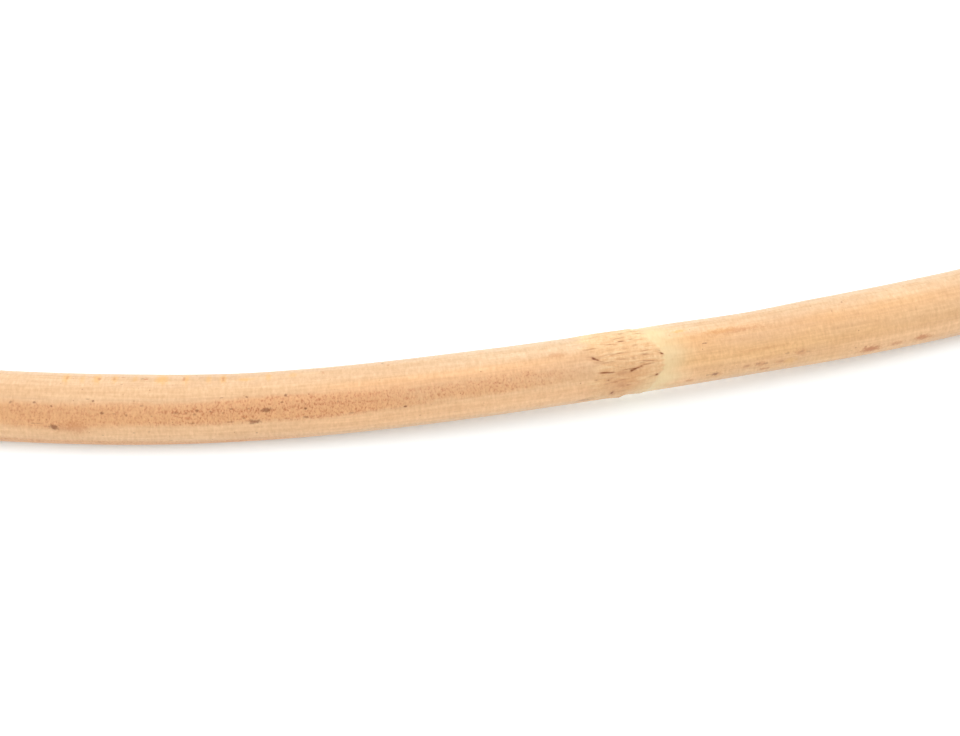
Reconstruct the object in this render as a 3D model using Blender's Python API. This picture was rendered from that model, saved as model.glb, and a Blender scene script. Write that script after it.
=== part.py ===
"""A rattan cane: one cut length of a climbing palm's stem, bowed, lying on a level surface.

Metres, +Z up. The stem grows from its thick cut end at -X to its thin cut end at +X, and its bow
bulges towards -Y. It is one grown piece, so it is one solid: a cylinder cut into rings, whose points
are then carried to where the stem's skin is. A point of the skin is told by its place, the distance
along the stem from the thick end, and by its angle round the stem: 0 faces +Y, 90 degrees is the top
and 180 degrees faces -Y.
"""

import bmesh
import bpy
import numpy as np
from mathutils import Matrix

NAME = "rattan_cane"
LENGTH = 0.600
SIDES = 32

# Diameter along the stem, as (place, diameter)
GIRTH = (
    (0.000, 0.01215),
    (0.105, 0.01185),
    (0.236, 0.01200),
    (0.262, 0.01160),
    (0.290, 0.01152),
    (0.310, 0.01132),
    (0.322, 0.01112),
    (0.330, 0.01125),
    (0.345, 0.01100),
    (0.358, 0.01134),
    (0.376, 0.01137),
    (0.450, 0.01105),
    (0.520, 0.01110),
    (0.600, 0.01085),
)

# The bow as seen from above, as (place, curvature in 1/m)
BOW = (
    (0.000, 0.5),
    (0.110, 1.3),
    (0.215, 1.45),
    (0.255, 2.95),
    (0.295, 2.23),
    (0.335, 1.91),
    (0.390, 2.19),
    (0.455, 0.9),
    (0.530, 1.5),
    (0.600, 0.2),
)
BOW_STEP = 0.0005

# Height of the underside above the surface, as (place, height): it touches in four places
LIFT = (
    (0.000, 0.0007),
    (0.034, 0.0000),
    (0.125, 0.0022),
    (0.235, 0.0000),
    (0.325, 0.0029),
    (0.420, 0.0000),
    (0.495, 0.0018),
    (0.566, 0.0000),
    (0.600, 0.0005),
)
WORN_FLAT = 0.0003  # how much of the underside is worn off level where it touches

# The section is a little oval, and its long axis turns slowly along the stem
OVAL_SHARE = 0.010
OVAL_TURNS_PER_METRE = 2.3

# Nodes, where a leaf sheath grew: (place, angle of the side where the scar reaches furthest up)
NODES = ((0.118, -20.0), (0.32465, 133.0), (0.523, 300.0))
SCAR_LEAN = 0.0026  # how far the scar runs up the stem on that side, and down on the other
SCAR_TONGUE = 0.0016  # how much further its furthest part reaches
TONGUE_WIDTH = 0.6  # half of that part's width round the stem, in radians
LEAN_REACH = 0.026
SCAR_BAND = 0.0110  # length of the torn band below the scar's edge
BAND_PROUD = 0.00004
BAND_FADE = 0.0025
LIP_HEIGHT = 0.00005
LIP_WIDTH = 0.0022
STEP_WIDTH = 0.0006
WAIST_DEPTH = 0.00012  # the stem is thinner just above the scar's edge
WAIST_LENGTH = 0.020
WAIST_RECOVERY = 0.026

# Tufts of torn fibre stand out of the band, and hollows lie between them
TUFTS = 26
TUFT_HEIGHT = 0.00016
TUFT_LENGTH = 0.0022
TUFT_WIDTH = 0.0011
TUFT_SEED = 11

# A stub of the sheath's foot is left on one side of each band, with a hollow above it
STUB_END = 0.0033  # how far below the scar's edge the stub breaks off
STUB_FROM_LEAN = 80.0
STUB_LENGTH = 0.0022
STUB_STEP = 0.0005
STUB_WIDTH = 0.0026
STUB_HEIGHT = 0.00018
HOLLOW_WIDTH = 0.0035
HOLLOW_DEPTH = 0.00015

# Across from the stub the band swells into a low knuckle
KNUCKLE_BELOW_EDGE = 0.0042
KNUCKLE_FROM_LEAN = -98.0
KNUCKLE_LENGTH = 0.0034
KNUCKLE_WIDTH = 0.0042
KNUCKLE_HEIGHT = 0.00015

CUT_ROUNDING = 0.00035  # the saw cuts' edges are broken by this much

RING_SPACING = 0.0070
SCAR_RINGS_MM = (
    -17, -15, -13.6, -12.6, -11.6, -10.6, -9.6, -8.6, -7.6, -6.6, -5.6, -4.6, -3.6, -2.6,
    -1.7, -0.9, -0.2, 0.4, 0.9, 1.6, 3.0, 6.0, 10.0, 14.5, 18.5, 22.0, 26.0,
)  # fmt: skip

SKIN_COLOUR = (0.66, 0.41, 0.22, 1.0)
SKIN_ROUGHNESS = 0.5


def smooth(share):
    """0 below 0, 1 above 1, and a smooth step between."""
    share = np.clip(share, 0.0, 1.0)
    return share * share * (3.0 - 2.0 * share)


def between(place, stations):
    """The value at a place, from (place, value) stations joined by smooth steps."""
    at, value = np.array(stations).T
    span = np.clip(np.searchsorted(at, place) - 1, 0, len(at) - 2)
    share = (place - at[span]) / (at[span + 1] - at[span])
    return value[span] + (value[span + 1] - value[span]) * smooth(share)


def around(angle, towards):
    """Signed angle from a side of the stem, from -pi to pi."""
    return (angle - towards + np.pi) % (2 * np.pi) - np.pi


def centreline():
    """(places, x, y, heading) of the stem's middle line from above, its two ends on one line along X."""
    places = np.linspace(0.0, LENGTH, round(LENGTH / BOW_STEP) + 1)
    curvature = np.interp(places, *np.array(BOW).T)

    def run(rate):
        mean = (rate[1:] + rate[:-1]) / 2
        return np.concatenate([[0.0], np.cumsum(mean * np.diff(places))])

    heading = run(curvature)
    x, y = run(np.cos(heading)), run(np.sin(heading))
    heading = heading - np.arctan2(y[-1], x[-1])
    return places, run(np.cos(heading)), run(np.sin(heading)), heading


def torn_fibres(place, angle, radius, edge, seed):
    """Height of the tufts and furrows on one scar's band, laid out by a seeded draw."""
    draw = np.random.default_rng(seed)
    height = np.zeros_like(place)
    for _ in range(TUFTS):
        middle = edge - SCAR_BAND * draw.uniform(0.06, 0.98)
        side = draw.uniform(-np.pi, np.pi)
        tall = TUFT_HEIGHT * draw.uniform(-0.9, 1.0)
        length = TUFT_LENGTH * draw.uniform(0.7, 1.5)
        along = (place - middle) / length
        across = around(angle, side) * radius / TUFT_WIDTH
        height += tall * np.exp(-(along**2) - across**2)
    return height


def node_relief(place, angle, radius):
    """Height of the nodes' forms above the plain stem."""
    height = np.zeros_like(place)
    for number, (edge, towards) in enumerate(NODES):
        above = place - edge
        band = smooth((above + SCAR_BAND) / BAND_FADE) * smooth(-above / STEP_WIDTH)
        lip = smooth((above + LIP_WIDTH) / LIP_WIDTH) * smooth(0.5 - above / STEP_WIDTH)
        waist = smooth(above / STEP_WIDTH) * smooth((WAIST_LENGTH - above) / WAIST_RECOVERY + 1.0)
        height += BAND_PROUD * band + LIP_HEIGHT * lip - WAIST_DEPTH * waist
        height += band * torn_fibres(place, angle, radius, edge, TUFT_SEED + number)
        across = around(angle, np.radians(towards + STUB_FROM_LEAN)) * radius
        stub = smooth((above + STUB_END) / STUB_LENGTH + 1.0) * smooth(-(above + STUB_END) / STUB_STEP)
        height += STUB_HEIGHT * stub * np.exp(-((across / STUB_WIDTH) ** 2))
        hollow = smooth((above + STUB_END) / STUB_STEP) * smooth(-above / STEP_WIDTH)
        height -= HOLLOW_DEPTH * hollow * np.exp(-((across / HOLLOW_WIDTH) ** 2))
        across = around(angle, np.radians(towards + KNUCKLE_FROM_LEAN)) * radius / KNUCKLE_WIDTH
        along = (above + KNUCKLE_BELOW_EDGE) / KNUCKLE_LENGTH
        height += KNUCKLE_HEIGHT * np.exp(-(along**2) - across**2)
    return height


def lean(place, angle):
    """How far a ring runs up the stem at an angle: the rings near a node follow its slanting scar."""
    shift = np.zeros_like(place)
    for edge, towards in NODES:
        near = smooth(1.0 - np.abs(place - edge) / LEAN_REACH)
        turned = around(angle, np.radians(towards))
        tongue = SCAR_TONGUE * np.exp(-((turned / TONGUE_WIDTH) ** 2))
        shift += near * (SCAR_LEAN * np.cos(turned) + tongue)
    return shift


def skin(place, angle, depth=0.0):
    """Points of the stem's skin, or that far below it, with the thick end's middle at x = y = 0."""
    radius = between(place, GIRTH) / 2
    turn = 2 * np.pi * OVAL_TURNS_PER_METRE * place
    oval = OVAL_SHARE * np.cos(2 * angle - turn)
    reach = radius * (1.0 + oval) + node_relief(place, angle, radius) - depth
    at = np.clip(place + lean(place, angle), 0.0, LENGTH)
    places, x, y, heading = centreline()
    turned = np.interp(at, places, heading)
    out, up = reach * np.cos(angle), reach * np.sin(angle)
    level = np.maximum(between(at, LIFT) + radius - WORN_FLAT + up, 0.0)
    return np.stack(
        [
            np.interp(at, places, x) - np.sin(turned) * out,
            np.interp(at, places, y) + np.cos(turned) * out,
            level,
        ],
        axis=-1,
    )


def ring_places():
    """Places of the rings: close together at each node, and evenly spread between."""
    rings = [0.0, CUT_ROUNDING, LENGTH - CUT_ROUNDING, LENGTH]
    for edge, _ in NODES:
        rings += [edge + mm / 1000 for mm in SCAR_RINGS_MM]
    rings.sort()
    for low, high in zip(rings[:-1], rings[1:]):
        steps = round((high - low) / RING_SPACING)
        rings += [low + (high - low) * step / steps for step in range(1, steps)]
    return sorted(rings)


def skin_material():
    material = bpy.data.materials.new("cane_skin")
    material.use_nodes = True
    shader = material.node_tree.nodes["Principled BSDF"]
    shader.inputs["Base Color"].default_value = SKIN_COLOUR
    shader.inputs["Roughness"].default_value = SKIN_ROUGHNESS
    shader.inputs["Metallic"].default_value = 0.0
    return material


def cane_mesh():
    """The cane: a capped cylinder along the stem, ringed, and each point carried to the skin."""
    rings = ring_places()
    stem = bmesh.new()
    bmesh.ops.create_cone(
        stem, cap_ends=True, segments=SIDES, radius1=1.0, radius2=1.0, depth=LENGTH
    )
    bmesh.ops.translate(stem, verts=stem.verts, vec=(0.0, 0.0, LENGTH / 2))
    for place in rings[1:-1]:
        everything = stem.verts[:] + stem.edges[:] + stem.faces[:]
        bmesh.ops.bisect_plane(
            stem, geom=everything, plane_co=(0.0, 0.0, place), plane_no=(0.0, 0.0, 1.0), dist=1e-6
        )
    flat_side_down = Matrix.Rotation(np.pi / SIDES, 3, "Z")
    bmesh.ops.rotate(stem, verts=stem.verts, cent=(0.0, 0.0, 0.0), matrix=flat_side_down)
    points = np.array([vertex.co for vertex in stem.verts])
    place, angle = points[:, 2], np.arctan2(points[:, 1], points[:, 0])
    at_cut = np.minimum(place, LENGTH - place) < CUT_ROUNDING / 2
    moved = skin(place, angle, np.where(at_cut, CUT_ROUNDING, 0.0))
    moved[:, :2] -= (moved[:, :2].min(axis=0) + moved[:, :2].max(axis=0)) / 2
    for vertex, point in zip(stem.verts, moved):
        vertex.co = point
    mesh = bpy.data.meshes.new(NAME)
    stem.to_mesh(mesh)
    stem.free()
    mesh.shade_smooth()
    mesh.set_sharp_from_angle(angle=np.radians(40.0))
    return mesh


def main():
    for old in list(bpy.data.objects):
        bpy.data.objects.remove(old)
    collection = bpy.data.collections.new("rattan_cane_parts")
    bpy.context.scene.collection.children.link(collection)
    cane = bpy.data.objects.new(NAME, cane_mesh())
    cane.data.materials.append(skin_material())
    collection.objects.link(cane)


main()
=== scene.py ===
"""The looks of the rattan cane: its skin with scars, grain and stains, its cut ends and torn fibres.

Metres, in the part's frame. A point of the skin is told by its place, the distance along the stem from
the thick end, and by its side, the angle round the stem: 0 faces +Y, 90 degrees is the top and 180
degrees faces -Y. Materials read both from the mesh attribute UNBENT, which holds the point of a
straight stem along X, so that grain and stains follow the bow.
"""

import bpy
import numpy as np
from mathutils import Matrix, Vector


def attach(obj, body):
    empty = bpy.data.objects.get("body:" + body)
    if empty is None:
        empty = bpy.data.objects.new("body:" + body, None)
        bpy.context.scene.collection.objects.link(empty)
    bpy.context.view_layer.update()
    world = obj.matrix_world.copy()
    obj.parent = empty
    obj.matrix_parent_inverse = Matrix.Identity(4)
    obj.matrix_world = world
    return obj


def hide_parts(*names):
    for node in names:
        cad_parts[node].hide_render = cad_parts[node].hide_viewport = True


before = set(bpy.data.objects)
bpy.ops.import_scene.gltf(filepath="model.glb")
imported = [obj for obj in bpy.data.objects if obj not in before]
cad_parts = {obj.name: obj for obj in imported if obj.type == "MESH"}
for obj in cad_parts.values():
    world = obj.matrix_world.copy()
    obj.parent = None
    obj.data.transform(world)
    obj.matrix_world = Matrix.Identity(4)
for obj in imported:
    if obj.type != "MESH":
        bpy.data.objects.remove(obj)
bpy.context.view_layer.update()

# fmt: off
# The stem's form, as the part has it: (place, diameter), (place, curvature in 1/m), (place, height)
LENGTH = 0.6
GIRTH = (
    (0, 0.01215), (0.105, 0.01185), (0.236, 0.012), (0.262, 0.0116), (0.29, 0.01152),
    (0.31, 0.01132), (0.322, 0.01112), (0.33, 0.01125), (0.345, 0.011), (0.358, 0.01134),
    (0.376, 0.01137), (0.45, 0.01105), (0.52, 0.0111), (0.6, 0.01085),
)
BOW = (
    (0, 0.5), (0.11, 1.3), (0.215, 1.45), (0.255, 2.95), (0.295, 2.23), (0.335, 1.91),
    (0.39, 2.19), (0.455, 0.9), (0.53, 1.5), (0.6, 0.2),
)
BOW_STEP = 0.0005
LIFT = (
    (0, 0.0007), (0.034, 0), (0.125, 0.0022), (0.235, 0), (0.325, 0.0029), (0.42, 0),
    (0.495, 0.0018), (0.566, 0), (0.6, 0.0005),
)
WORN_FLAT = 0.0003
OVAL_SHARE = 0.01
OVAL_TURNS_PER_METRE = 2.3

# Nodes, as (place, angle of the side where the scar reaches furthest up)
NODES = ((0.118, -20.0), (0.32465, 133.0), (0.523, 300.0))
SEEN_NODE = 1  # the one in the photograph, counted from 0
SCAR_LEAN = 0.0026
SCAR_TONGUE = 0.0016
TONGUE_WIDTH = 0.6
LEAN_REACH = 0.026
SCAR_BAND = 0.011
BAND_PROUD = 0.00004
BAND_FADE = 0.0025
LIP_HEIGHT = 0.00005
LIP_WIDTH = 0.0022
STEP_WIDTH = 0.0006
WAIST_DEPTH = 0.00012
WAIST_LENGTH = 0.02
WAIST_RECOVERY = 0.026
TUFTS = 26
TUFT_HEIGHT = 0.00016
TUFT_LENGTH = 0.0022
TUFT_WIDTH = 0.0011
TUFT_SEED = 11
STUB_END = 0.0033  # how far below the scar's edge the stub breaks off
STUB_FROM_LEAN = 80.0
STUB_LENGTH = 0.0022
STUB_STEP = 0.0005
STUB_WIDTH = 0.0026
STUB_HEIGHT = 0.00018
HOLLOW_WIDTH = 0.0035
HOLLOW_DEPTH = 0.00015
KNUCKLE_BELOW_EDGE = 0.0042
KNUCKLE_FROM_LEAN = -98.0
KNUCKLE_LENGTH = 0.0034
KNUCKLE_WIDTH = 0.0042
KNUCKLE_HEIGHT = 0.00015
CUT_ROUNDING = 0.00035

# The fine skin's own mesh
SIDES = 272
TURNS = (np.arange(SIDES) + 0.5) * 2 * np.pi / SIDES
RING_SPACING = 0.0025
BAND_RING_SPACING = 0.00045
BAND_RINGS_FROM = -0.0145
BAND_RINGS_TO = 0.0022
RINGS_ABOVE_EDGE = (0.0001, 0.0005)
ROUNDING_RINGS = (0.0, 0.3, 1.0)  # as shares of the cut's rounding
CAP_RINGS = 6

# Its fine relief, and where the colours of a node begin, end and fade
RIB_HEIGHT = 0.000012
RIB_CHANGE = 60.0  # how fast one set of ribs gives way to another, in radians to a metre
EDGE_RAG = 0.00022
BAND_RAG = 0.0008
BAND_COLOUR_FADE = 0.0022
EDGE_COLOUR_FADE = 0.0008
CREAM_WIDTH = 0.0068
CREAM_FADE = 0.0062
CREAM_RAG = 0.0011
CREAM_BELOW_FRINGE = 0.0004
CREAM_START_FADE = 0.0003
COLOUR_RAG = 0.00022
FRINGE_REACH = 0.0036
FRINGE_FADE = 0.0028
FRINGE_SHARE = 0.5
FRINGE_SIDES = (-55.0, 140.0)  # from the stub
FRINGE_SIDE_FADES = (24.0, 40.0)
FOOT_BELOW_EDGE = 0.0052
FOOT_FROM_LEAN = 33.0
FOOT_LENGTH = 0.004
FOOT_WIDTH = 0.0029
OCHRE_FROM_LEAN = 24.0
OCHRE_LEAST = 0.15
OCHRE_HALF_WIDTH = 82.0
OCHRE_SIDE_FADE = 32.0
OCHRE_START_FADE = 0.004
OCHRE_LENGTH = 0.085
OCHRE_FADE = 0.06

# Uneven lines round the stem, as (seed, fewest waves round it, most waves)
EDGE_WAVES = (20, 9, 34)
BAND_WAVES = (30, 3, 22)
CREAM_WAVES = (40, 2, 14)
COLOUR_WAVES = (80, 12, 50)
RIB_WAVES = (60, 24, 70)

# Fibres that lift off the bands, fibre ends on the cuts, and the saw's unevenness
FIBRE_STATIONS = 5
FIBRE_THICKNESSES = (0.00004, 0.00009)
FIBRE_CLEARANCE = 0.0001
BAND_FIBRES = 40
FIBRE_SEED = 90
FIBRE_BELOW_EDGE = 0.0012
FIBRE_LENGTHS = (0.0009, 0.003)
FIBRE_LIFTS = (0.00004, 0.0002)
FIBRE_DRIFT = 0.05
FIBRE_TAPER = 0.8
FIBRE_SUNK = 0.6
BAND_RADIUS = 0.0057
LOOSE_SHARE = 0.06
LOOSE_LIFTS = (0.0003, 0.0005)
CUT_FIBRES = 30
CUT_FIBRE_SEED = 95
CUT_FIBRE_SPREAD = (0.3, 0.94)
CUT_FIBRE_LENGTHS = (0.00025, 0.0011)
CUT_FIBRE_LEAN = 0.25
CUT_FIBRE_TAPER = 0.7
CUT_FIBRE_ROOT = 0.0002
CUT_UNEVEN = 0.000012
CUT_CROWN = 0.00004
SAW_SEED = 70
SAW_WAVES = 7
SAW_RATES = (0.4, 1.6)
SAW_TURN = 6.3

# The skin's map: four strips along the stem, and the two cuts above them
UV_STRIPS = 4
UV_EDGE = 0.006
UV_STRIP_WIDTH = 0.988
UV_STRIP_PITCH = 0.228
UV_STRIP_HEIGHT = 0.222
UV_CAP_HEIGHT = 0.958
UV_CAP_RADIUS = 0.036
UV_CAP_LEFT = 0.06
UV_CAP_PITCH = 0.1

# Torn strokes drawn at random, in the units of the seen ones below
STROKES_PER_BAND = 340
STROKE_SEED = 50
STROKE_MARGIN = 0.004
DRAWN_BELOW_EDGE = 0.2
DRAWN_LENGTHS = (0.6, 3.0)
DRAWN_WIDTHS = (0.12, 0.26)
DRAWN_SLANT = 0.14
DRAWN_HEIGHTS = (-0.05, 0.034)
DRAWN_DARKNESS = 0.75
PALE_FROM_HEIGHT = 0.000034

# Torn strokes of the photographed scar, as (below the edge, side, length, width, slant, height,
# darkness), in millimetres and degrees; the slant is sideways travel for each unit along
SEEN_STROKES = (
    (10.06, 114, 0.7, 0.6, 0.2, -0.12, 1), (9.4, 118, 0.7, 0.4, 0.9, -0.08, 0.85),
    (0.27, 122.5, 0.6, 0.48, 0, -0.1, 1), (0.09, 117.5, 0.45, 0.3, 0, -0.06, 0.7),
    (0.26, 158, 0.7, 0.42, -0.3, -0.1, 1), (1.22, 160, 1.4, 0.22, -0.2, -0.06, 0.45),
    (4.32, 141.5, 2.4, 0.36, -0.42, -0.13, 0.75), (4.92, 143.5, 1.1, 0.46, -0.42, -0.06, 1),
    (9.1, 141, 1.4, 0.32, 0.12, -0.1, 0.85), (8.1, 142.5, 1.3, 0.3, 0.05, -0.08, 0.7),
    (6.47, 146, 2.2, 0.6, -0.1, -0.06, 0.38), (4.14, 88, 1.2, 0.26, 0, -0.08, 0.85),
    (5.07, 90, 0.5, 0.2, 0, -0.05, 0.55), (2.35, 87, 1.3, 0.22, 0, -0.06, 0.6),
    (3.2, 67, 0.9, 0.3, 0, -0.06, 0.75), (6.35, 112, 3.2, 0.18, -0.04, -0.08, 0.55),
    (2.36, 113.5, 1.6, 0.2, -0.1, -0.06, 0.6), (2.6, 119.5, 1.3, 0.3, 0, -0.06, 0.6),
    (4.61, 123.5, 0.5, 0.5, 0, -0.06, 0.55), (6.3, 122.5, 1.6, 0.24, 0.1, -0.06, 0.5),
    (3.15, 101, 1.3, 0.24, -0.25, -0.05, 0.5), (4.94, 104, 0.9, 0.24, 0, -0.05, 0.45),
    (8.17, 155, 0.8, 0.34, 0, -0.06, 0.7), (10.02, 152, 0.7, 0.34, 0, -0.05, 0.6),
    (6.9, 160, 0.8, 0.34, 0, -0.05, 0.55), (5.8, 158, 1, 0.3, 0, -0.05, 0.5),
    (5.26, 172, 0.5, 0.6, 0.5, -0.05, 0.55), (4.65, 171, 0.5, 0.35, 0, -0.05, 0.55),
    (5.76, 170, 0.35, 2.2, 0, -0.05, 0.3), (4.8, 176, 0.3, 1.8, 0.3, -0.04, 0.26),
    (6.48, 186, 0.6, 1, 0, -0.04, 0.8), (5.94, 192, 0.7, 0.8, 0, -0.04, 0.45),
    (6.94, 109.5, 3.6, 0.2, -0.05, 0.05, 0), (4.62, 127.5, 1.6, 0.22, 0, 0.05, 0),
    (2.58, 116, 2.4, 0.22, -0.12, 0.05, 0), (2.62, 162, 2, 0.26, -0.1, 0.05, 0),
    (8.19, 132, 1.8, 0.22, 0.15, 0.04, 0), (5.56, 98, 2.6, 0.24, -0.1, 0.04, 0),
)

# Dirty streaks along the stem, and one of painted shade, the one along the underside from 0.15 to 0.285,
# where the stem lies on the floor: (first place, last place, side at each, half width, strength)
STREAKS = (
    (0.12, 0.306, 146.5, 134.5, 21, 1), (0.276, 0.33, 137, 135, 17, 0.78),
    (0.336, 0.376, 112, 114, 22, 0.24), (0.15, 0.285, 206, 209, 16, 1),
    (0.01, 0.112, 330, 300, 20, 0.75), (0.345, 0.5, 20, 35, 16, 0.55),
    (0.53, 0.59, 200, 190, 15, 0.6),
)

# How thick the freckles lie in the streaks along the stem: (place, share)
FRECKLED = (
    (0, 0.7), (0.2, 0.58), (0.24, 0.62), (0.252, 0.95), (0.264, 0.9), (0.276, 0.92), (0.296, 1),
    (0.33, 1), (0.6, 0.6),
)

# Lines along the stem where freckles crowd: (first place, last place, side, half width, strength)
FRECKLE_LINES = (
    (0.214, 0.246, 136, 2.2, 0.45), (0.238, 0.284, 135, 2.6, 1),
    (0.24, 0.296, 156, 3.6, 0.6), (0.246, 0.272, 117, 2.5, 0.55), (0.13, 0.2, 146, 5, 0.8),
    (0.02, 0.1, 318, 5, 0.8), (0.36, 0.48, 28, 4, 0.7),
)

# How streaks and lines sway along the stem, as (degrees, radians to a metre), and how they fade
STREAK_SWAY = (1.8, 95.0)
STREAK_FINE_SWAY = (1.2, 270.0)
STREAK_SWELL = (1.5, 160.0)
STREAK_SOFTNESS = 10.5
STREAK_START_FADE = 0.018
STREAK_END_FADE = 0.03
LINE_SWAY = (1.5, 260.0)
LINE_FINE_SWAY = (1.0, 610.0)
LINE_FADE = 0.01

# Strips along the stem: side, half width, and (place, share) along it. The pale strip along the top is
# partly paler skin and partly a painted highlight; the warm strips are painted light that lightens the
# lower-facing side and a band above the middle
STRIP_EDGE = 1.3
PALE_AND_LIT_STRIP = (
    62, 36, (
        (0, 0.28), (0.28, 0.34), (0.3, 0.85), (0.316, 0.9), (0.32, 0.35),
        (0.328, 1), (0.334, 0.8), (0.342, 0.45), (0.36, 0.65), (0.6, 0.5),
    ),
)
WARM_LIT_STRIPS = (
    (176, 26, (
        (0, 0.6), (0.264, 0.65), (0.275, 1), (0.332, 0.9),
        (0.338, 0), (0.356, 0), (0.366, 0.6), (0.6, 0.7),
    )),
    (111, 12, (
        (0, 0.3), (0.266, 0), (0.278, 0.9), (0.302, 0.9), (0.318, 0.2), (0.6, 0.2),
    )),
)

# Stains and specks: (place in mm, side, length in mm, width in mm, strength)
SPECKS = (
    (220.2, 122, 0.5, 0.4, 0.5), (224.2, 121, 0.7, 0.4, 0.65), (227, 126, 0.45, 0.4, 0.7),
    (233, 113, 0.8, 0.2, 0.5), (233.9, 116, 0.6, 0.35, 0.7), (235.4, 135, 0.7, 0.4, 0.65),
    (241.6, 70, 0.8, 0.5, 0.4), (251, 132, 0.5, 0.4, 0.6), (247.6, 135, 1.2, 0.4, 0.35),
    (227.4, 161, 1.8, 1, 0.75), (224.4, 155, 2.2, 0.18, 0.35), (262.4, 136, 1.9, 0.75, 0.7),
    (260.4, 155, 2.1, 0.8, 0.7), (259.2, 113, 0.45, 0.35, 0.6), (265.7, 114, 0.6, 0.5, 0.7),
    (265, 125, 0.6, 0.3, 0.5), (268.8, 138, 0.45, 0.4, 0.9), (268.8, 153, 1, 0.45, 0.5),
    (276.2, 153, 1.1, 0.35, 0.45), (274.2, 132, 0.5, 0.4, 0.5), (285.2, 152, 0.7, 0.35, 0.9),
    (282, 61, 0.5, 0.4, 0.5), (260.6, 179, 0.5, 0.4, 0.45), (336.3, 117, 1, 0.25, 0.75),
    (337.6, 180, 1.2, 0.9, 0.7), (361.8, 82, 0.35, 0.3, 0.6), (237.4, 136, 0.6, 0.3, 0.35),
    (239.4, 138, 0.45, 0.35, 0.45), (241.9, 123, 0.8, 0.25, 0.4), (243.6, 140, 0.4, 0.3, 0.4),
    (249.2, 135, 0.4, 0.35, 0.45), (250.6, 138, 0.6, 0.35, 0.4), (253.2, 134, 0.5, 0.35, 0.5),
    (255.2, 137, 0.5, 0.3, 0.4), (256.6, 131, 0.5, 0.3, 0.5), (258.6, 147, 0.5, 0.4, 0.5),
    (259.5, 132, 0.5, 0.3, 0.45), (255.1, 112, 0.6, 0.25, 0.5), (240.5, 170, 0.5, 0.3, 0.35),
    (243, 168, 0.4, 0.25, 0.35), (235.3, 176, 0.5, 0.3, 0.3), (246.3, 192, 0.6, 0.3, 0.4),
    (250.2, 153, 1, 0.4, 0.4), (256.4, 153, 1, 0.3, 0.35), (238.3, 85, 0.5, 0.25, 0.4),
    (336.4, 180, 0.8, 0.5, 0.32), (342.9, 173, 1.2, 0.45, 0.22), (345.2, 172, 1, 0.45, 0.34),
    (346.4, 174, 1.1, 0.45, 0.36), (349.2, 175, 1.2, 0.35, 0.22), (350.3, 160, 1, 0.4, 0.26),
    (352.7, 161, 0.8, 0.55, 0.34), (353.9, 163, 0.9, 0.35, 0.24), (361.6, 180, 1, 0.55, 0.22),
)
BROWN_STAINS = (
    (333.2, 187, 1.7, 0.8, 0.5), (342.9, 173, 2.4, 1.1, 0.4), (345.7, 173, 2.6, 1.4, 0.5),
    (349, 176, 2.4, 1, 0.42), (352.6, 162, 2.6, 1.4, 0.38), (346.4, 190, 2.4, 0.9, 0.65),
    (231, 160, 4.2, 2.8, 0.46), (228.4, 162, 3.6, 1.8, 0.34), (365.4, 186, 4.4, 2, 0.92),
    (370, 183, 2.8, 1.2, 0.6), (375, 181, 3, 1.4, 0.8), (341.5, 99, 11, 1.3, 0.4),
    (346, 142, 12, 0.5, 0.25), (337.8, 181, 2.2, 1.1, 0.45), (346, 172, 16, 2.6, 0.16),
    (356, 168, 12, 2, 0.12), (318, 172, 3, 1.5, 0.15), (311, 98, 3.4, 1, 0.3),
)
ORANGE_STAINS = (
    (228.8, 69, 1.4, 3.4, 0.5), (231.6, 72, 1, 2.4, 0.3), (234, 69, 1.6, 3.2, 0.5),
    (237, 70, 1.2, 2.6, 0.42), (244.9, 69, 2.4, 3.4, 0.6), (249, 69, 1.2, 3.4, 0.5),
    (252.8, 70, 1, 2.8, 0.42), (255.2, 70, 1.2, 3.2, 0.5), (259, 77, 2.8, 0.9, 0.5),
    (262.8, 72, 1, 2.4, 0.42), (332.4, 85, 2.6, 0.7, 0.6), (339.5, 98, 6, 1.1, 0.35),
    (240.4, 68, 1, 2.2, 0.35), (267, 72, 1.4, 1.6, 0.35), (350.8, 177, 2.6, 1.5, 0.35),
)
RUSTY_STAINS = (
    (234.4, 72, 0.7, 0.7, 0.6), (229, 70, 0.4, 0.9, 0.45), (242.2, 71, 0.9, 0.4, 0.85),
    (236.9, 71, 0.5, 0.8, 0.45), (248.6, 71, 0.5, 1.4, 0.6), (255.2, 72, 0.5, 1.4, 0.55),
    (238.3, 66, 0.6, 0.4, 0.5), (233, 67, 1.6, 0.25, 0.35), (251.6, 67, 0.7, 0.3, 0.4),
    (272, 73, 0.5, 0.9, 0.4), (283, 70, 0.6, 0.5, 0.4), (361.8, 82, 0.4, 0.3, 0.7),
)
# fmt: on

# Colours as 8-bit sRGB, and how strongly red, green and blue follow a change of shade
CLEAN = (211, 169, 126)
# Partly a paler skin, partly a painted highlight along the top
PALE_AND_LIT = (217, 186, 148)
# Painted light on the lower-facing side and a band above the middle
WARM_LIT = (223, 174, 126)
OCHRE = (216, 167, 114)
CREAM = (221, 191, 142)
# Dirt, and the painted shade along the underside where the stem lies on the floor, share this colour
DIRT_AND_SHADE = (214, 160, 110)
RUST = (184, 108, 64)
TORN = (212, 163, 114)
TORN_PALE = (222, 184, 138)
THREAD = (232, 200, 152)
BARK_BROWN = (154, 88, 42)
SPECK = (118, 62, 18)
STAIN_BROWN = (182, 112, 60)
STAIN_ORANGE = (220, 166, 88)
CUT_PITH = (212, 179, 137)
CUT_RIM = (194, 151, 102)
PORE = (84, 54, 31)

WARMTH = (0.75, 1.08, 1.45)
STAIN_TONES = (
    (ORANGE_STAINS, STAIN_ORANGE),
    (RUSTY_STAINS, RUST),
    (BROWN_STAINS, STAIN_BROWN),
    (SPECKS, SPECK),
)
STAIN_INPUTS = ("Along", "Round", "Rag", "Place", "Side", "Length", "Width", "Strength")
STAIN_EDGE = (1.35, 0.3)
STAIN_RAG = 1.1
STEM_RADIUS_MM = 5.65

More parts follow.
